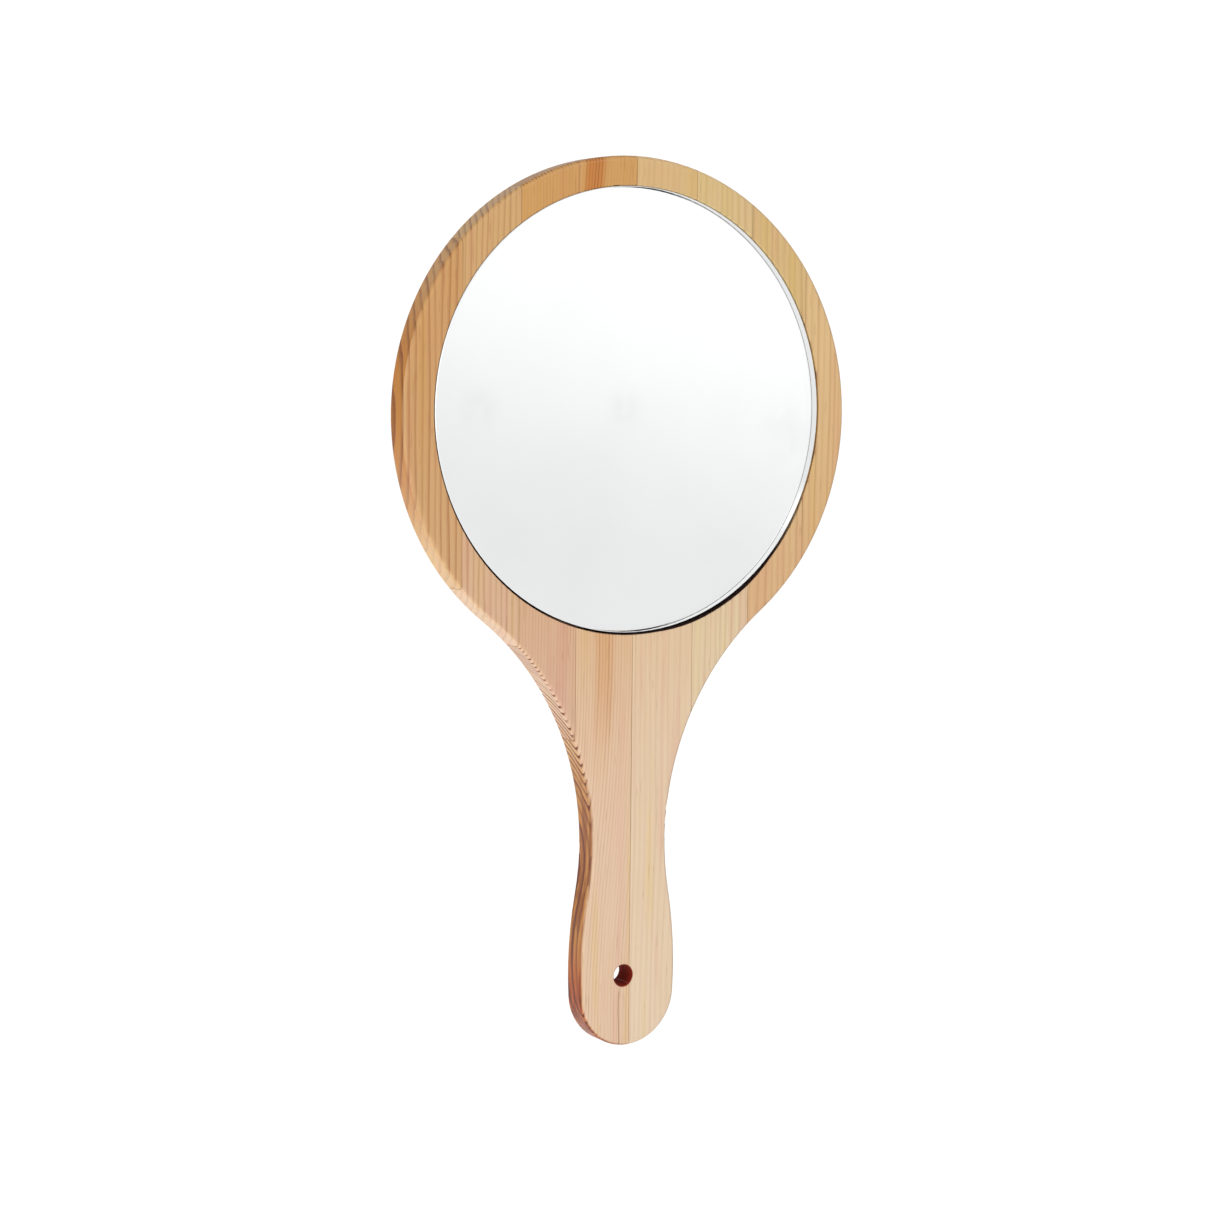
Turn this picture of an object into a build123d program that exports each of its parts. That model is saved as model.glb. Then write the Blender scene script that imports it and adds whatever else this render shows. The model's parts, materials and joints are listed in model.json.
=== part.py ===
from build123d import *
from math import sqrt
import os

# Hand mirror: a round glass let into the head of an edge-glued pine paddle, with a hole in the
# handle to hang it by. Millimetres. +Z runs up the handle to the head and -Y is the glass side.
# The origin is the centre of the round head, on the flat back.

# Paddle outline, seen from the front
HEAD_RADIUS = 86.5
WAIST_HALF_WIDTH = 14.8
WAIST_Z = -146.0
SIDE_RADIUS = 150.0
END_RADIUS = 18.6
END_Z = -216.4

# Paddle section
BOARD_THICKNESS = 9.5
FRONT_ROUNDING = 1.5
BACK_ROUNDING = 1.0
SANDED_EDGE = 0.35

# Staves that the board is glued up from, and the glue between them
SEAMS = (-65.0, -43.5, -21.8, 0.4, 24.3, 47.0, 69.5)
GLUE_WIDTH = 0.2

# Recess for the glass, cut too wide at the lower right, and the glass, which sits to the upper left in it
RECESS_RADIUS = 75.45
RECESS_DEPTH = 4.2
RECESS_CENTRE = (0.45, 1.15)
SLIP_RADIUS = 66.0
SLIP_CENTRE = (5.1, -7.9)
GLASS_RADIUS = 75.0
GLASS_CENTRE = (0.2, 1.4)
GLASS_THICKNESS = 3.0
GLASS_ARRIS = 0.25
SILVER_THICKNESS = 0.1
PAINT_THICKNESS = 0.1

# Foam tape between the glass and the recess floor
PAD_SIZE = 30.0
PAD_CORNER = 2.0
PAD_THICKNESS = 0.9
PAD_DISTANCE = 42.0

# Hanging hole
HOLE_RADIUS = 3.7
HOLE_CENTRE = (-1.9, -191.8)

BACK = Plane.XZ
FRONT = BACK.offset(BOARD_THICKNESS)
RECESS_FLOOR = BACK.offset(BOARD_THICKNESS - RECESS_DEPTH)


def meeting_point(a, a_reach, b, b_reach):
    """The point at a_reach from a and b_reach from b, on the left of the line from a to b."""
    line = b - a
    along = (line.length**2 + a_reach**2 - b_reach**2) / (2 * line.length)
    across = sqrt(a_reach**2 - along**2)
    ahead = line.normalized()
    return a + ahead * along + Vector(-ahead.Y, ahead.X) * across


def save(piece, name):
    """Names a finished piece and writes its STEP file."""
    piece.part.label = name
    export_step(piece.part, f"parts/{name}.step")


os.makedirs("parts", exist_ok=True)

# ---- The outline's circles: each one is tangent to the next ----
# The neck circle touches the head from outside and comes in to the waist, its nearest point.
neck_radius = (WAIST_HALF_WIDTH**2 + WAIST_Z**2 - HEAD_RADIUS**2) / (2 * (HEAD_RADIUS - WAIST_HALF_WIDTH))
neck_centre = Vector(WAIST_HALF_WIDTH + neck_radius, WAIST_Z)
end_centre = Vector(0, END_Z + END_RADIUS)
# The side of the grip touches the neck circle from outside and holds the end circle.
side_centre = meeting_point(end_centre, SIDE_RADIUS - END_RADIUS, neck_centre, SIDE_RADIUS + neck_radius)

neck_start = neck_centre.normalized() * HEAD_RADIUS
neck_end = neck_centre + (side_centre - neck_centre).normalized() * neck_radius
grip_end = side_centre + (end_centre - side_centre).normalized() * SIDE_RADIUS

# ---- Paddle: the whole board, before it is divided into its staves ----
with BuildPart() as paddle:
    with BuildSketch(BACK):
        with BuildLine():
            head = TangentArc((0, HEAD_RADIUS), neck_start, tangent=(1, 0))
            neck = TangentArc(head @ 1, neck_end, tangent=head % 1)
            grip = TangentArc(neck @ 1, grip_end, tangent=neck % 1)
            TangentArc(grip @ 1, (0, END_Z), tangent=grip % 1)
            mirror(about=Plane.YZ)
        make_face()
    extrude(amount=BOARD_THICKNESS)
    fillet(paddle.faces().sort_by(Axis.Y)[0].edges(), FRONT_ROUNDING)
    fillet(paddle.faces().sort_by(Axis.Y)[-1].edges(), BACK_ROUNDING)

    with BuildSketch(FRONT):
        with Locations(RECESS_CENTRE):
            Circle(RECESS_RADIUS)
        with Locations(SLIP_CENTRE):
            Circle(SLIP_RADIUS)
    extrude(amount=-RECESS_DEPTH, mode=Mode.SUBTRACT)
    with Locations(FRONT):
        with Locations(HOLE_CENTRE):
            Hole(HOLE_RADIUS)
    hole_mouths = paddle.edges().filter_by(GeomType.CIRCLE).filter_by(lambda edge: edge.radius == HOLE_RADIUS)
    recess_mouth = paddle.faces().sort_by(Axis.Y)[0].inner_wires().sort_by(Axis.Z)[-1].edges()
    chamfer(recess_mouth + hole_mouths, SANDED_EDGE)


def slice_of_paddle(left, right):
    """The part of the paddle from one X to another."""
    with BuildPart() as piece:
        add(paddle.part)
        split(bisect_by=Plane.YZ.offset(left), keep=Keep.TOP)
        split(bisect_by=Plane.YZ.offset(right), keep=Keep.BOTTOM)
    return piece


# ---- Pine staves, from left to right, each half a glue line short of its seams ----
left_faces = [-HEAD_RADIUS - 1] + [seam + GLUE_WIDTH / 2 for seam in SEAMS]
right_faces = [seam - GLUE_WIDTH / 2 for seam in SEAMS] + [HEAD_RADIUS + 1]
for number, (left, right) in enumerate(zip(left_faces, right_faces), start=1):
    save(slice_of_paddle(left, right), f"pine_stave_{number}")

# ---- Glue lines between the staves ----
for number, seam in enumerate(SEAMS, start=1):
    save(slice_of_paddle(seam - GLUE_WIDTH / 2, seam + GLUE_WIDTH / 2), f"glue_line_{number}")

# ---- Foam tape pads on the recess floor ----
for name, across, up in (("left", -1, 0), ("right", 1, 0), ("top", 0, 1), ("bottom", 0, -1)):
    with BuildPart() as pad:
        with BuildSketch(RECESS_FLOOR):
            with Locations((across * PAD_DISTANCE, up * PAD_DISTANCE)):
                RectangleRounded(PAD_SIZE, PAD_SIZE, PAD_CORNER)
        extrude(amount=PAD_THICKNESS)
    save(pad, f"foam_tape_{name}")

# ---- Mirror: paint, silver and glass, from the back to the front ----
paint_back = RECESS_FLOOR.offset(PAD_THICKNESS)
silver_back = paint_back.offset(PAINT_THICKNESS)
glass_back = silver_back.offset(SILVER_THICKNESS)

with BuildPart() as backing_paint:
    with BuildSketch(paint_back):
        with Locations(GLASS_CENTRE):
            Circle(GLASS_RADIUS)
    extrude(amount=PAINT_THICKNESS)
save(backing_paint, "backing_paint")

with BuildPart() as silver_film:
    with BuildSketch(silver_back):
        with Locations(GLASS_CENTRE):
            Circle(GLASS_RADIUS)
    extrude(amount=SILVER_THICKNESS)
save(silver_film, "silver_film")

with BuildPart() as glass_disc:
    with BuildSketch(glass_back):
        with Locations(GLASS_CENTRE):
            Circle(GLASS_RADIUS)
    extrude(amount=GLASS_THICKNESS)
    chamfer(glass_disc.faces().sort_by(Axis.Y)[0].edges(), GLASS_ARRIS)
save(glass_disc, "glass_disc")
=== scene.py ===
import json
from math import cos, pi, radians, sin

import bpy
from mathutils import Matrix, Vector


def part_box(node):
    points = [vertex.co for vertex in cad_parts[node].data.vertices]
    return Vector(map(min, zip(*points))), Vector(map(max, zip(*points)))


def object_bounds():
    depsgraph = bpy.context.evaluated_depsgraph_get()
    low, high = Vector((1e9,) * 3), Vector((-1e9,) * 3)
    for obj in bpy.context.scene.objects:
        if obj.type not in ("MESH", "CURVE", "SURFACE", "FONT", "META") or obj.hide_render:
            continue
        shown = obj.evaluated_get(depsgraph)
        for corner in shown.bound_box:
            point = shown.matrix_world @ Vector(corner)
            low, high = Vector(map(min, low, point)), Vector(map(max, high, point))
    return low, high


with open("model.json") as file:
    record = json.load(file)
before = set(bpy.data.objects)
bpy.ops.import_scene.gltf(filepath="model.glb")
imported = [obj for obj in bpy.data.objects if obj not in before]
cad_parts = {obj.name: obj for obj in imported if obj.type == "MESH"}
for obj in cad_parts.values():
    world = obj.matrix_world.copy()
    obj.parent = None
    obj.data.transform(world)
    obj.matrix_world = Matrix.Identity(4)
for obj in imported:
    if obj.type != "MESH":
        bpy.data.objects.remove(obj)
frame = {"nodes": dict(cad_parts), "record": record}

# Looks, camera and light of the hand mirror, in its CAD frame: metres, with +Z up the handle to the
# head and the glass facing -Y. The materials work in millimetres in the same frame.

MM = 0.001
CAD_BOX = [list(corner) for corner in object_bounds()]
low, high = (Vector(corner) for corner in CAD_BOX)
centre = (low + high) / 2
scene = bpy.context.scene

# ---- Camera: to the left of the mirror, level with the glass, looking a little down ----
CAMERA_YAW = radians(30.53)
CAMERA_PITCH = radians(5.06)
CAMERA_ROLL = radians(0.54)
CAMERA_DISTANCE = 0.900
CAMERA_LENS = 79.2
CAMERA_SENSOR = 36
CAMERA_NEAR = 0.05
CAMERA_FAR = 50
CAMERA_AIM = Vector((-0.0102, low.y - 0.0007, centre.z + 0.0004))


def add_camera():
    data = bpy.data.cameras.new("camera")
    data.lens = CAMERA_LENS
    data.sensor_width = CAMERA_SENSOR
    data.clip_start = CAMERA_NEAR
    data.clip_end = CAMERA_FAR
    camera = bpy.data.objects.new("camera", data)
    scene.collection.objects.link(camera)
    turn = (
        Matrix.Rotation(-CAMERA_YAW, 4, "Z")
        @ Matrix.Rotation(pi / 2 - CAMERA_PITCH, 4, "X")
        @ Matrix.Rotation(CAMERA_ROLL, 4, "Z")
    )
    back = (turn @ Vector((0, 0, 1, 0))).to_3d()
    camera.matrix_world = Matrix.Translation(CAMERA_AIM + back * CAMERA_DISTANCE) @ turn
    scene.camera = camera


# ---- Shader nodes ----
def add_node(tree, kind, inputs=None, **settings):
    """A new shader node. Each input is a value, or another node's output socket to link."""
    made = tree.nodes.new(kind)
    for name, value in settings.items():
        setattr(made, name, value)
    for name, value in (inputs or {}).items():
        socket = made.inputs[name]
        if isinstance(value, bpy.types.NodeSocket):
            tree.links.new(value, socket)
        else:
            socket.default_value = value
    return made


def sums(tree, operation, first, second=0.0, third=0.0, clamp=False):
    """The output of a Math node."""
    made = add_node(tree, "ShaderNodeMath", {0: first, 1: second, 2: third}, operation=operation)
    made.use_clamp = clamp
    return made.outputs[0]


def product(tree, *factors):
    """Two or more values multiplied together."""
    result = factors[0]
    for factor in factors[1:]:
        result = sums(tree, "MULTIPLY", result, factor)
    return result


def hypotenuse(tree, across, up):
    """The straight distance from two distances at a right angle."""
    return sums(tree, "SQRT", sums(tree, "ADD", product(tree, across, across), product(tree, up, up)))


def ramped(tree, value, low_value, high_value, low_result=0.0, high_result=1.0, smooth=True):
    """value carried from one range to another, and held at its ends."""
    ends = {"From Min": low_value, "From Max": high_value, "To Min": low_result, "To Max": high_result}
    shape = "SMOOTHSTEP" if smooth else "LINEAR"
    made = add_node(tree, "ShaderNodeMapRange", {"Value": value, **ends}, interpolation_type=shape)
    return made.outputs["Result"]


def blended(tree, share, first, second, how="MIX"):
    """The colour between two colours, or their product."""
    made = add_node(tree, "ShaderNodeMix", {0: share, 6: first, 7: second}, data_type="RGBA", blend_type=how)
    return made.outputs[2]


def tinted(tree, share, base, tint):
    """base times a tint, by its share."""
    return blended(tree, share, base, (*tint, 1.0), "MULTIPLY")


def noise(tree, vector, scale, detail=2.0, roughness=0.5):
    """Soft noise from 0 to 1."""
    inputs = {"Vector": vector, "Scale": scale, "Detail": detail, "Roughness": roughness}
    return add_node(tree, "ShaderNodeTexNoise", inputs).outputs["Fac"]


def grain_noise(tree, mm, across, along, seed, detail=2.0, roughness=0.5):
    """Noise with its own scales, per millimetre, across the grain (X and Y) and along it (Z). Each seed
    shifts to another part of the noise."""
    inputs = {"Vector": mm, "Scale": (across, across, along), "Location": (seed, seed * 1.7, seed * 0.6)}
    drawn_out = add_node(tree, "ShaderNodeMapping", inputs).outputs[0]
    return noise(tree, drawn_out, 1.0, detail, roughness)


def object_place(tree):
    """The place on the object, in metres."""
    return add_node(tree, "ShaderNodeTexCoord").outputs["Object"]


def in_millimetres(tree, place):
    """A place in millimetres, and its X, Y and Z."""
    mm = add_node(tree, "ShaderNodeVectorMath", {0: place, "Scale": 1 / MM}, operation="SCALE").outputs[0]
    return mm, add_node(tree, "ShaderNodeSeparateXYZ", {0: mm}).outputs


def reach_from(tree, axes, place):
    """Distance in millimetres from a line along Y through a place in X and Z."""
    across = sums(tree, "SUBTRACT", axes[0], place[0])
    up = sums(tree, "SUBTRACT", axes[2], place[1])
    return hypotenuse(tree, across, up)


def colour(red, green, blue):
    """A linear colour from the display values of a colour chart."""
    display = [c / 255 for c in (red, green, blue)]
    return [c / 12.92 if c <= 0.04045 else ((c + 0.055) / 1.055) ** 2.4 for c in display] + [1.0]


def new_material(name):
    made = bpy.data.materials.new(name)
    made.use_nodes = True
    tree = made.node_tree
    tree.nodes.clear()
    shader = add_node(tree, "ShaderNodeBsdfPrincipled")
    output = add_node(tree, "ShaderNodeOutputMaterial", {"Surface": shader.outputs[0]})
    return made, tree, shader, output


# ---- Painted shade in the gap round the glass, and scorch marks of the cutters in the hole, on the wood and the glue ----
# Places in X and Z, and lengths, in millimetres. A pair is the two ends of a fade.
GLASS_AXIS = (0.2, 1.4)
GLASS_REACH = 75.0
RECESS_DEPTH = 4.2
HOLE_AXIS = (-1.9, -191.8)
HOLE_REACH = 3.7
WALL_BEGINS = (0.1, 0.15)
WALL_ENDS = (1.5, 1.65)
# Painted shade: the recess wall round the glass is darkened low down and in a spot at its top, where the
# narrow gap is in shade
GAP_SHADE_DEPTH = (0.05, 0.25)
GAP_SHADE_Z = (-50.0, -20.0)
SHADE_SPOT_X = -7.5
SHADE_SPOT_HALF_WIDTH = (0.8, 1.5)
SHADE_SPOT_Z = (60.0, 61.0)
SHADE_SPOT_STRENGTH = 0.9
REDDENED_WALL = (0.05, 0.3)
# The colour of the painted shade in the gap, and the red of the scorched hole
GAP_SHADE = colour(38, 16, 9)
REDDENED = colour(134, 32, 13)


def scorched_and_shaded(tree, axes, base):
    """base, with painted shade low down on the recess wall and in a spot at its top, where the gap round the
    glass is in shade, and scorched red in the hole. Also how strong the painted shade and the scorch are,
    from 0 to 1."""
    x, y, z = axes
    gap = sums(tree, "SUBTRACT", reach_from(tree, axes, GLASS_AXIS), GLASS_REACH)
    past_glass = product(tree, ramped(tree, gap, *WALL_BEGINS), ramped(tree, gap, *WALL_ENDS, 1.0, 0.0))
    depth = sums(tree, "SUBTRACT", y, low.y / MM)
    above_floor = ramped(tree, depth, RECESS_DEPTH + 0.05, RECESS_DEPTH + 0.1, 1.0, 0.0)
    # Painted shade on the recess wall, in the gap round the glass
    on_wall = product(tree, past_glass, ramped(tree, depth, *GAP_SHADE_DEPTH), above_floor)
    off_shade_spot = sums(tree, "ABSOLUTE", sums(tree, "SUBTRACT", x, SHADE_SPOT_X))
    at_top = ramped(tree, z, *SHADE_SPOT_Z, 0.0, SHADE_SPOT_STRENGTH)
    shade_spot = product(tree, ramped(tree, off_shade_spot, *SHADE_SPOT_HALF_WIDTH, 1.0, 0.0), at_top)
    low_down = ramped(tree, z, *GAP_SHADE_Z, 1.0, 0.0)
    recess_shade = product(tree, on_wall, sums(tree, "MAXIMUM", low_down, shade_spot))
    off_hole = sums(tree, "SUBTRACT", reach_from(tree, axes, HOLE_AXIS), HOLE_REACH)
    in_hole = ramped(tree, off_hole, *REDDENED_WALL, 1.0, 0.0)
    scorch_and_shade = blended(tree, in_hole, blended(tree, recess_shade, base, GAP_SHADE), REDDENED)
    return scorch_and_shade, sums(tree, "MAXIMUM", recess_shade, in_hole)


# ---- Pine ----
# Staves 1 to 8, from left to right: display colours at the head and at the handle's end, the heading of
# the pith in the stave's cross section (degrees), the width of a ring (mm), and how strongly the late
# wood shows on the face and on the sides.
STAVES = (
    dict(head=(201, 154, 99), end=(206, 170, 131), heading=162, ring=2.3, face=0.6, side=0.7),
    dict(head=(206, 166, 113), end=(214, 180, 158), heading=160, ring=1.9, face=0.45, side=0.7),
    dict(head=(204, 155, 93), end=(214, 180, 158), heading=20, ring=1.1, face=0.25, side=1.3),
    dict(head=(205, 156, 93), end=(223, 193, 165), heading=20, ring=1.1, face=0.25, side=1.3),
    dict(head=(214, 181, 129), end=(226, 203, 176), heading=60, ring=1.1, face=0.15, side=0.5),
    dict(head=(215, 188, 137), end=(226, 207, 179), heading=50, ring=1.4, face=0.2, side=0.5),
    dict(head=(214, 183, 129), end=(218, 177, 138), heading=130, ring=1.6, face=0.3, side=0.6),
    dict(head=(220, 187, 135), end=(208, 162, 118), heading=30, ring=2.0, face=0.3, side=0.6),
)
STREAKED_STAVE = 4
CALM_STAVES = (1, 2)
SEED_STEP = 37.0

# Growth rings: the pith in millimetres, and the late wood in shares of a year
PITH_DISTANCE = 120.0
PITH_WANDER = 4.0
UNEVENNESS = 1.6
LATE_START = 0.35
LATE_PEAK = 0.93
LATE_STEEPNESS = 1.4
YEAR_BOLDNESS = (0.45, 1.15)
LATE_WOOD = colour(158, 98, 52)
LATE_SIDE = colour(108, 46, 10)

# Ends of the fades along the board, in millimetres of Z
PALER_BELOW_TOP = 20
PALEST_ABOVE_END = 55
CALM_Z = (-45.0, -10.0)
CALM_SIDE = 0.3
LIT_FROM_BELOW_Z = (-150.0, -120.0)

# Stave 4: the swing of its grain, its dark band, the heartwood on the grip's side, and the drying check
SWING_LOW_Z = 85.0
SWING_LENGTH = 250
SWING_REACH = 3.5
BAND_LEFT = (-22.5, -19.5)
BAND_RIGHT = (-15.5, -12.5)
BAND_NECK_Z = (-128.0, -88.0)
BAND_TOP_Z = (30.0, 70.0)
BAND_BOLDNESS = 0.7
HEART_Z = (-138.0, -108.0)
HEART_X = (-5.0, 5.0)
HEART_DEEP_Z = (-196.0, -176.0)
CHECK_X = -3.3
CHECK_TOP = -195.3
CHECK_TAPER = 3.0
CHECK_WAVER = 0.8
CHECK_HALF_WIDTH = (0.1, 0.32)

# Tints that the wood's colour is multiplied by
DRIFT_TINT = (0.95, 0.90, 0.84)
PINK_TINT = (0.985, 0.90, 0.93)
YELLOW_TINT = (0.99, 0.98, 0.84)
FIBRE_TINT = (0.90, 0.83, 0.76)
DUCT_TINT = (0.66, 0.50, 0.36)
BAND_TINT = (0.90, 0.62, 0.36)
HEART_TINT = (0.80, 0.63, 0.44)
HEART_STRIPE_TINT = (0.60, 0.46, 0.38)
HEART_DEEP_TINT = (0.86, 0.46, 0.34)
CHECK_TINT = (0.62, 0.55, 0.46)
# The tints for the sides, for the sides under the head and for the edge roundings hold painted shade and
# painted light
SIDE_FINISH_AND_SHADE_TINT = (0.90, 0.66, 0.30)
END_GRAIN_TINT = (0.86, 0.78, 0.68)
LIT_FROM_BELOW_TINT = (1.16, 1.25, 1.30)
EDGE_SHADE_TINT = (0.66, 0.62, 0.62)

# Surface of the sanded wood and its thin clear finish
WOOD_ROUGHNESS = (0.45, 0.6)
LATE_POLISH = -0.1
SCORCH_AND_SHADE_ROUGHNESS = 0.4
FINISH_WEIGHT = 0.3
FINISH_ROUGHNESS = 0.32
WOOD_SPECULAR = 0.25
RELIEF_STRENGTH = 0.3
RELIEF_DEPTH = 0.06


def swung(tree, x, z):
    """x, as the grain of stave 4 has it: swung to the right below the glass, and back."""
    swing = sums(tree, "COSINE", product(tree, sums(tree, "ADD", z, SWING_LOW_Z), 2 * pi / SWING_LENGTH))
    return sums(tree, "SUBTRACT", x, sums(tree, "MULTIPLY_ADD", swing, SWING_REACH, SWING_REACH))


def dark_band(tree, x, z):
    """How strong the dark band in stave 4 is: faint from the neck up, and full at the top of the rim."""
    across = product(tree, ramped(tree, x, *BAND_LEFT), ramped(tree, x, *BAND_RIGHT, 1.0, 0.0))
    up = sums(tree, "ADD", ramped(tree, z, *BAND_NECK_Z, 0.0, 0.4), ramped(tree, z, *BAND_TOP_Z, 0.0, 0.6))
    return product(tree, across, up)


def growth_rings(tree, mm, place, middle, board, seed):
    """How late in its year the wood grew, and a number for how bold that year's ring is, both 0 to 1."""
    heading = radians(board["heading"])
    pith = (middle.x + PITH_DISTANCE * cos(heading), PITH_DISTANCE * sin(heading))
    wanders = (
        grain_noise(tree, mm, 0.006, 0.006, seed, 1.0),
        grain_noise(tree, mm, 0.006, 0.007, seed + 9, 1.0),
    )
    from_pith = []
    for value, home, wander in zip(place, pith, wanders):
        straight = sums(tree, "SUBTRACT", value, home)
        sideways = sums(tree, "SUBTRACT", wander, 0.5)
        from_pith.append(sums(tree, "MULTIPLY_ADD", sideways, PITH_WANDER, straight))
    rings = sums(tree, "DIVIDE", hypotenuse(tree, *from_pith), board["ring"])
    uneven = grain_noise(tree, mm, 0.09, 0.009, seed + 3)
    rings = sums(tree, "ADD", rings, product(tree, uneven, UNEVENNESS))
    season = sums(tree, "FRACT", rings)
    year = sums(tree, "ADD", sums(tree, "FLOOR", rings), seed)
    luck = add_node(tree, "ShaderNodeTexWhiteNoise", {"W": year}, noise_dimensions="1D").outputs["Value"]
    rise = sums(tree, "POWER", ramped(tree, season, LATE_START, LATE_PEAK), LATE_STEEPNESS)
    return product(tree, rise, ramped(tree, season, LATE_PEAK, 1.0, 1.0, 0.0)), luck


def early_wood(tree, mm, z, board, seed):
    """Early wood: paler towards the handle's end, with slow drifts, and pink and yellow streaks."""
    along = ramped(tree, z, high.z / MM - PALER_BELOW_TOP, low.z / MM + PALEST_ABOVE_END)
    wood = blended(tree, along, colour(*board["head"]), colour(*board["end"]))
    drift = grain_noise(tree, mm, 0.05, 0.008, seed + 5, 3.0)
    wood = tinted(tree, ramped(tree, drift, 0.3, 0.7, 0.0, 0.4), wood, DRIFT_TINT)
    streak = grain_noise(tree, mm, 0.22, 0.012, seed + 13)
    wood = tinted(tree, ramped(tree, streak, 0.52, 0.70), wood, PINK_TINT)
    return tinted(tree, ramped(tree, streak, 0.48, 0.30), wood, YELLOW_TINT)


def with_heartwood(tree, mm, axes, flatness, wood, seed):
    """wood, with streaked brown heartwood on the left side of the grip, deepest near its end."""
    x, _, z = axes
    on_side = sums(tree, "SUBTRACT", 1.0, flatness)
    heart = product(tree, on_side, ramped(tree, z, *HEART_Z, 1.0, 0.0), ramped(tree, x, *HEART_X, 1.0, 0.0))
    wood = tinted(tree, heart, wood, HEART_TINT)
    stripe = ramped(tree, grain_noise(tree, mm, 0.5, 0.035, seed + 17), 0.44, 0.58)
    wood = tinted(tree, product(tree, heart, stripe), wood, HEART_STRIPE_TINT)
    deep = product(tree, heart, ramped(tree, z, *HEART_DEEP_Z, 1.0, 0.0))
    return tinted(tree, deep, wood, HEART_DEEP_TINT)


def with_fibres(tree, mm, fibre, wood, seed):
    """wood, with its fine fibres and short dark resin ducts."""
    wood = tinted(tree, ramped(tree, fibre, 0.35, 0.75, 0.0, 0.4), wood, FIBRE_TINT)
    duct = ramped(tree, grain_noise(tree, mm, 1.7, 0.11, seed + 11, 0.0), 0.72, 0.8, 0.0, 0.35)
    return tinted(tree, duct, wood, DUCT_TINT)


def with_drying_check(tree, mm, axes, wood, seed):
    """wood, with the fine wavering line that runs from the hole down to the handle's end."""
    x, _, z = axes
    wavered = sums(tree, "MULTIPLY_ADD", grain_noise(tree, mm, 0.0, 0.12, seed, 1.0), CHECK_WAVER, x)
    off_line = sums(tree, "ABSOLUTE", sums(tree, "SUBTRACT", wavered, CHECK_X))
    line = ramped(tree, off_line, *CHECK_HALF_WIDTH, 1.0, 0.0)
    below_hole = ramped(tree, z, CHECK_TOP - CHECK_TAPER, CHECK_TOP, 1.0, 0.0)
    return tinted(tree, product(tree, line, below_hole), wood, CHECK_TINT)


def with_finish_and_painted_light(tree, z, normal, wood):
    """wood, deeper in colour on the end grain, where it has soaked up more finish, darker and more orange on
    the sides, partly from finish and partly as painted shade, with painted light on the sides under the head
    and painted shade on the back rounding and the right-hand edge.
    """
    # The side faces are darker and more orange: partly finish soaked into the side grain, partly painted
    # shade
    along_grain = ramped(tree, sums(tree, "ABSOLUTE", normal[0]), 0.84, 1.0)
    wood = tinted(tree, along_grain, wood, SIDE_FINISH_AND_SHADE_TINT)
    end_grain = ramped(tree, sums(tree, "ABSOLUTE", normal[2]), 0.6, 1.0, 0.0, 0.4)
    wood = tinted(tree, end_grain, wood, END_GRAIN_TINT)

    # Painted light: the sides that face down under the head are paler, as if lit from below
    lit_from_below = product(tree, ramped(tree, normal[2], -0.2, -0.6), ramped(tree, z, *LIT_FROM_BELOW_Z))
    wood = tinted(tree, lit_from_below, wood, LIT_FROM_BELOW_TINT)

    # Painted shade: the rounding at the back and all of the right-hand edge are darkened, and are the darkest
    back_edge_shade = product(tree, ramped(tree, normal[1], 0.1, 0.5), ramped(tree, normal[1], 0.93, 0.985, 1.0, 0.0))
    edge_shade = sums(tree, "MAXIMUM", back_edge_shade, ramped(tree, normal[0], 0.15, 0.65))
    return tinted(tree, edge_shade, wood, EDGE_SHADE_TINT)


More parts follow.
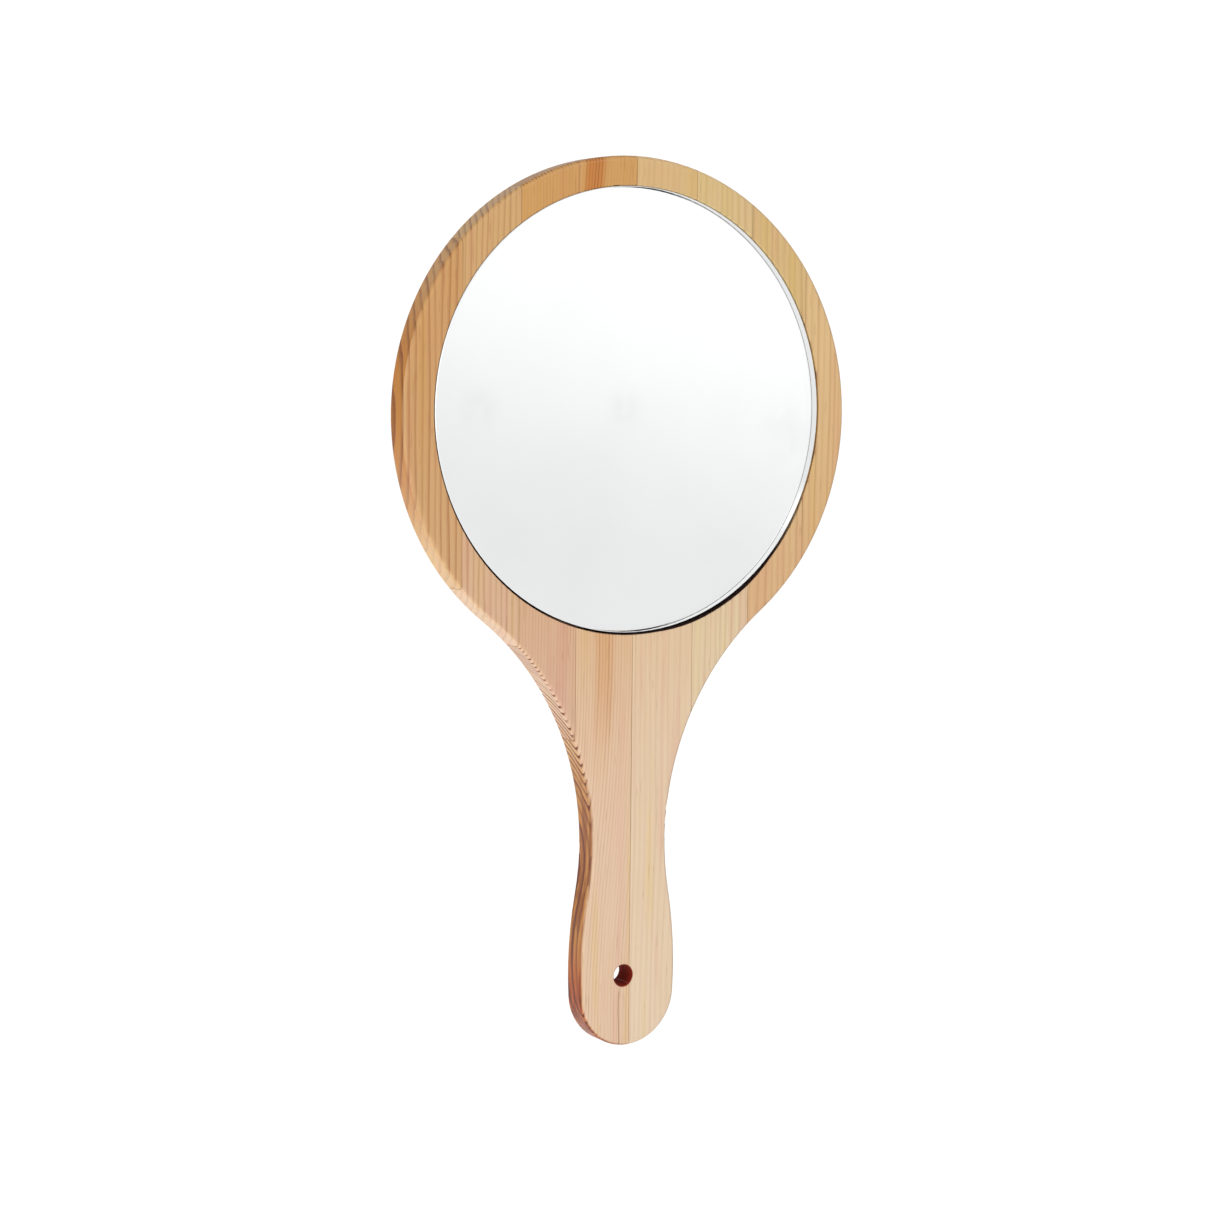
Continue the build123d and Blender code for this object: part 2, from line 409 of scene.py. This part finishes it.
def pine(name, number):
    """Sanded pine. Its rings run round a pith outside the stave, so every face cuts the same rings."""
    made, tree, shader, _ = new_material(name)
    mm, axes = in_millimetres(tree, object_place(tree))
    x, y, z = axes
    middle = (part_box(name)[0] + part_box(name)[1]) / 2 / MM
    board = STAVES[number - 1]
    seed = SEED_STEP * number
    streaked = number == STREAKED_STAVE

    # Late wood: a side cut across the rings shows it more strongly than the sanded face does
    normal = add_node(tree, "ShaderNodeNewGeometry").outputs["Normal"]
    normal = add_node(tree, "ShaderNodeSeparateXYZ", {0: normal}).outputs
    flatness = ramped(tree, sums(tree, "ABSOLUTE", normal[1]), 0.5, 0.95)
    boldness = ramped(tree, flatness, 0.0, 1.0, board["side"], board["face"], smooth=False)
    if streaked:
        x = swung(tree, x, z)
        band = dark_band(tree, x, z)
        boldness = sums(tree, "MULTIPLY_ADD", band, BAND_BOLDNESS, boldness)
    lateness, luck = growth_rings(tree, mm, (x, y), middle, board, seed)
    strength = product(tree, boldness, ramped(tree, luck, 0.0, 1.0, *YEAR_BOLDNESS, smooth=False))
    if number in CALM_STAVES:
        calm = sums(tree, "MAXIMUM", flatness, ramped(tree, z, *CALM_Z, CALM_SIDE, 1.0))
        strength = product(tree, strength, calm)
    late = sums(tree, "MULTIPLY", lateness, strength, clamp=True)

    # Colour
    wood = early_wood(tree, mm, z, board, seed)
    if streaked:
        wood = tinted(tree, band, wood, BAND_TINT)
        wood = with_heartwood(tree, mm, axes, flatness, wood, seed)
    wood = blended(tree, late, wood, blended(tree, flatness, LATE_SIDE, LATE_WOOD))
    fibre = grain_noise(tree, mm, 2.4, 0.05, seed + 7, 3.0, 0.6)
    wood = with_fibres(tree, mm, fibre, wood, seed)
    if streaked:
        wood = with_drying_check(tree, mm, axes, wood, seed)
    wood = with_finish_and_painted_light(tree, z, normal, wood)
    wood, scorch_and_shade = scorched_and_shaded(tree, axes, wood)
    tree.links.new(wood, shader.inputs["Base Color"])

    # Surface: late wood takes a better polish and stands up a little, and the scorched hole and the painted
    # shade in the recess gap are dull
    roughness = sums(tree, "MULTIPLY_ADD", late, LATE_POLISH, ramped(tree, fibre, 0.2, 0.8, *WOOD_ROUGHNESS))
    roughness = sums(tree, "MULTIPLY_ADD", scorch_and_shade, SCORCH_AND_SHADE_ROUGHNESS, roughness, clamp=True)
    tree.links.new(roughness, shader.inputs["Roughness"])
    tree.links.new(ramped(tree, scorch_and_shade, 0.0, 1.0, FINISH_WEIGHT, 0.0), shader.inputs["Coat Weight"])
    shader.inputs["Specular IOR Level"].default_value = WOOD_SPECULAR
    shader.inputs["Coat Roughness"].default_value = FINISH_ROUGHNESS
    height = sums(tree, "ADD", product(tree, late, 0.6), product(tree, fibre, 0.5))
    relief = {"Height": height, "Strength": RELIEF_STRENGTH, "Distance": RELIEF_DEPTH * MM}
    tree.links.new(add_node(tree, "ShaderNodeBump", relief).outputs[0], shader.inputs["Normal"])
    return made


# ---- Glue, tape and mirror ----
SMUDGES = ((-58.0, 2.0, 10.0), (-3.0, 3.0, 10.0), (64.0, -5.0, 16.0))
SMUDGE_TINT = (0.955, 0.955, 0.955)
GLASS_IOR = 1.52
SILVER_LAP = 0.02


def wood_glue():
    """Amber glue, darker where it is thick."""
    made, tree, shader, _ = new_material("wood_glue")
    mm, axes = in_millimetres(tree, object_place(tree))
    patches = grain_noise(tree, mm, 0.4, 0.03, 0.0, 3.0)
    tone = blended(tree, ramped(tree, patches, 0.35, 0.65), colour(128, 84, 48), colour(176, 132, 90))
    # The glue gets the same painted shade in the recess gap, and the scorch in the hole
    tone, _ = scorched_and_shaded(tree, axes, tone)
    tree.links.new(tone, shader.inputs["Base Color"])
    tree.links.new(ramped(tree, patches, 0.3, 0.7, 0.35, 0.55), shader.inputs["Roughness"])
    return made


def foam_tape():
    """White foam with fine cells."""
    made, tree, shader, _ = new_material("foam_tape")
    cells = noise(tree, object_place(tree), 4000.0)
    tone = blended(tree, cells, colour(212, 212, 206), colour(238, 238, 232))
    tree.links.new(tone, shader.inputs["Base Color"])
    shader.inputs["Roughness"].default_value = 0.9
    return made


def backing_paint():
    """Grey paint, in thin and thick patches."""
    made, tree, shader, _ = new_material("backing_paint")
    patches = noise(tree, object_place(tree), 60.0, 4.0)
    tone = blended(tree, patches, colour(66, 68, 70), colour(92, 94, 96))
    tree.links.new(tone, shader.inputs["Base Color"])
    tree.links.new(ramped(tree, patches, 0.3, 0.7, 0.5, 0.7), shader.inputs["Roughness"])
    return made


def silver():
    """Silver with the faintest haze, and three smudges (X, Z and reach in millimetres)."""
    made, tree, shader, _ = new_material("silver")
    place = object_place(tree)
    mm, axes = in_millimetres(tree, place)
    haze = noise(tree, place, 18.0, 3.0)
    tone = blended(tree, ramped(tree, haze, 0.4, 0.75), colour(254, 254, 254), colour(251, 251, 251))
    blots = ramped(tree, noise(tree, mm, 0.13, 3.0), 0.3, 0.6, 0.3, 1.0)
    for across, up, reach in SMUDGES:
        mark = ramped(tree, reach_from(tree, axes, (across, up)), 1.0, reach, 1.0, 0.0)
        tone = tinted(tree, product(tree, mark, blots), tone, SMUDGE_TINT)
    tree.links.new(tone, shader.inputs["Base Color"])
    shader.inputs["Metallic"].default_value = 1.0
    tree.links.new(ramped(tree, haze, 0.3, 0.8, 0.0, 0.012), shader.inputs["Roughness"])
    return made


def glass():
    """Clear glass with a few faint wiping marks."""
    made, tree, shader, _ = new_material("glass")
    marks = noise(tree, object_place(tree), 300.0, 4.0)
    tree.links.new(ramped(tree, marks, 0.62, 0.8, 0.0, 0.02), shader.inputs["Roughness"])
    shader.inputs["Base Color"].default_value = colour(253, 254, 254)
    shader.inputs["IOR"].default_value = GLASS_IOR
    shader.inputs["Transmission Weight"].default_value = 1.0
    return made


def dress(node, material):
    """Gives a CAD node its material."""
    thing = frame["nodes"][node]
    if not thing.material_slots:
        thing.data.materials.append(material)
    for holder in thing.material_slots:
        holder.material = material


def dress_all():
    plain = {
        "wood_glue": wood_glue(),
        "foam_tape": foam_tape(),
        "backing_paint": backing_paint(),
        "silver": silver(),
        "glass": glass(),
    }
    for row in frame["record"]["subparts"]:
        node, slot_name = row["node"], row["material_slot"]
        if slot_name == "pine":
            dress(node, pine(node, int(node.rsplit("_", 1)[1])))
        else:
            dress(node, plain[slot_name])


def seat_silver():
    """Lets the silver into the back of the glass by a hair, so that nothing lies between them."""
    hair = frame["nodes"]["silver_film"].modifiers.new("seat", "DISPLACE")
    hair.direction = "Y"
    hair.strength = -SILVER_LAP * MM
    hair.mid_level = 0.0


# ---- Studio ----
WHITE = (1.0, 1.0, 1.0, 1.0)
WARM_WHITE = (1.0, 0.99, 0.975, 1.0)

# Floor: its size, its glow to the camera, and the light it throws from -X to +X
FLOOR_RADIUS = 1.3
FLOOR_SIDES = 96
FLOOR_GAP = 0.0005
FLOOR_GLOW = 1.3
FLOOR_GLOW_SHARE = 0.85
FLOOR_BOUNCE_X = (-0.5, 0.3)
FLOOR_BOUNCE = (1.6, 0.85)

# World: what the camera sees, and the light from the front and from behind
BACKDROP = 1.05
FRONT_WAY = (0.35, -0.75, 0.55)
FRONT_SPREAD = (-0.3, 0.95)
FRONT_LIGHT = (0.1, 0.62)
BEHIND_WAY = (0.6, 0.75, 0.25)
BEHIND_SPREAD = (0.1, 0.95)
BEHIND_LIGHT = 0.7

# World as the mirror sees it: light grey up to the horizon, then white, and duller again overhead
MIRRORED_GREY = 0.855
MIRRORED_WHITE = 1.11
MIRRORED_SLANT = 0.4
MIRRORED_HORIZON = (0.125, 0.270)
MIRRORED_OVERHEAD = (0.33, 0.42)
OVERHEAD_DROP = 0.2
CLOUDS = 0.03

# Softboxes: place, width (metres), power (watts), and whether the front of the glass shows it
SOFTBOXES = {
    "key": ((0.6, -1.3, 0.95), 0.9, 6.5, True),
    "low": ((-0.05, -0.7, -0.19), 0.4, 0.8, False),
    "left": ((-1.4, -0.35, 0.1), 1.2, 10.0, True),
}


def for_rays(tree, rays, kind, others, these):
    """A shader that one kind of ray sees, and the one that the others see."""
    return add_node(tree, "ShaderNodeMixShader", {0: rays.outputs[kind], 1: others, 2: these}).outputs[0]


def add_floor():
    """A pale floor just under the handle's end. It glows, so that it stays white, and throws more light on
    the left. The mirror sees it as grey as the world below the horizon."""
    made, tree, shader, output = new_material("floor")
    place = object_place(tree)
    tone = blended(tree, noise(tree, place, 3.0, 3.0), colour(238, 238, 237), colour(246, 246, 245))
    tree.links.new(tone, shader.inputs["Base Color"])
    shader.inputs["Roughness"].default_value = 0.85
    glow = add_node(tree, "ShaderNodeEmission", {"Color": tone, "Strength": FLOOR_GLOW}).outputs[0]
    x = add_node(tree, "ShaderNodeSeparateXYZ", {0: place}).outputs[0]
    spread = ramped(tree, x, *FLOOR_BOUNCE_X, *FLOOR_BOUNCE)
    bounce = add_node(tree, "ShaderNodeEmission", {"Color": tone, "Strength": spread}).outputs[0]
    mirrored = add_node(tree, "ShaderNodeEmission", {"Color": WHITE, "Strength": MIRRORED_GREY}).outputs[0]
    lit_and_glowing = {0: FLOOR_GLOW_SHARE, 1: shader.outputs[0], 2: glow}
    shown = add_node(tree, "ShaderNodeMixShader", lit_and_glowing).outputs[0]
    rays = add_node(tree, "ShaderNodeLightPath")
    unseen = for_rays(tree, rays, "Is Transmission Ray", bounce, mirrored)
    tree.links.new(for_rays(tree, rays, "Is Camera Ray", unseen, shown), output.inputs["Surface"])
    bpy.ops.mesh.primitive_circle_add(
        vertices=FLOOR_SIDES, radius=FLOOR_RADIUS, fill_type="NGON", location=(0, 0, low.z - FLOOR_GAP)
    )
    floor = bpy.context.object
    floor.name = "floor"
    floor.data.materials.append(made)


def add_softbox(name, where, width, power, shines):
    """A round soft light facing the mirror. The camera doesn't see it, nor does the silver through the
    glass, and one that doesn't shine isn't seen in the front of the glass either."""
    data = bpy.data.lights.new(name, "AREA")
    data.shape = "DISK"
    data.size = width
    data.energy = power
    lamp = bpy.data.objects.new(name, data)
    scene.collection.objects.link(lamp)
    lamp.location = where
    lamp.rotation_mode = "QUATERNION"
    lamp.rotation_quaternion = (centre - Vector(where)).to_track_quat("-Z", "Y")
    lamp.visible_camera = False
    lamp.visible_transmission = False
    lamp.visible_glossy = shines


def dot(tree, direction, way):
    """How far a direction points one way, from -1 to 1."""
    inputs = {0: direction, 1: Vector(way).normalized()}
    return add_node(tree, "ShaderNodeVectorMath", inputs, operation="DOT_PRODUCT").outputs["Value"]


def add_world():
    """A white studio, darker on the left, in which the mirror sees its own soft gradient."""
    world = bpy.data.worlds.new("studio")
    scene.world = world
    world.use_nodes = True
    tree = world.node_tree
    tree.nodes.clear()
    direction = add_node(tree, "ShaderNodeTexCoord").outputs["Generated"]

    front = ramped(tree, dot(tree, direction, FRONT_WAY), *FRONT_SPREAD, *FRONT_LIGHT)
    behind = ramped(tree, dot(tree, direction, BEHIND_WAY), *BEHIND_SPREAD, 0.0, BEHIND_LIGHT)
    lit = sums(tree, "ADD", front, behind)
    shaped = add_node(tree, "ShaderNodeBackground", {"Color": WARM_WHITE, "Strength": lit}).outputs[0]

    slant = product(tree, dot(tree, direction, (1, 0, 0)), MIRRORED_SLANT)
    rise = sums(tree, "ADD", dot(tree, direction, (0, 0, 1)), slant)
    clouds = sums(tree, "MULTIPLY_ADD", noise(tree, direction, 26.0, 3.0), CLOUDS, -CLOUDS / 2)
    tone = ramped(tree, rise, *MIRRORED_HORIZON, MIRRORED_GREY, MIRRORED_WHITE)
    tone = sums(tree, "ADD", tone, clouds)
    tone = sums(tree, "SUBTRACT", tone, ramped(tree, rise, *MIRRORED_OVERHEAD, 0.0, OVERHEAD_DROP))
    mirrored = add_node(tree, "ShaderNodeBackground", {"Color": WHITE, "Strength": tone}).outputs[0]

    backdrop = add_node(tree, "ShaderNodeBackground", {"Color": WHITE, "Strength": BACKDROP}).outputs[0]
    rays = add_node(tree, "ShaderNodeLightPath")
    unseen = for_rays(tree, rays, "Is Transmission Ray", shaped, mirrored)
    mixed = for_rays(tree, rays, "Is Camera Ray", unseen, backdrop)
    add_node(tree, "ShaderNodeOutputWorld", {"Surface": mixed})


add_camera()
scene.view_settings.view_transform = "Standard"
dress_all()
seat_silver()
add_floor()
add_world()
for light_name, light in SOFTBOXES.items():
    add_softbox(light_name, *light)
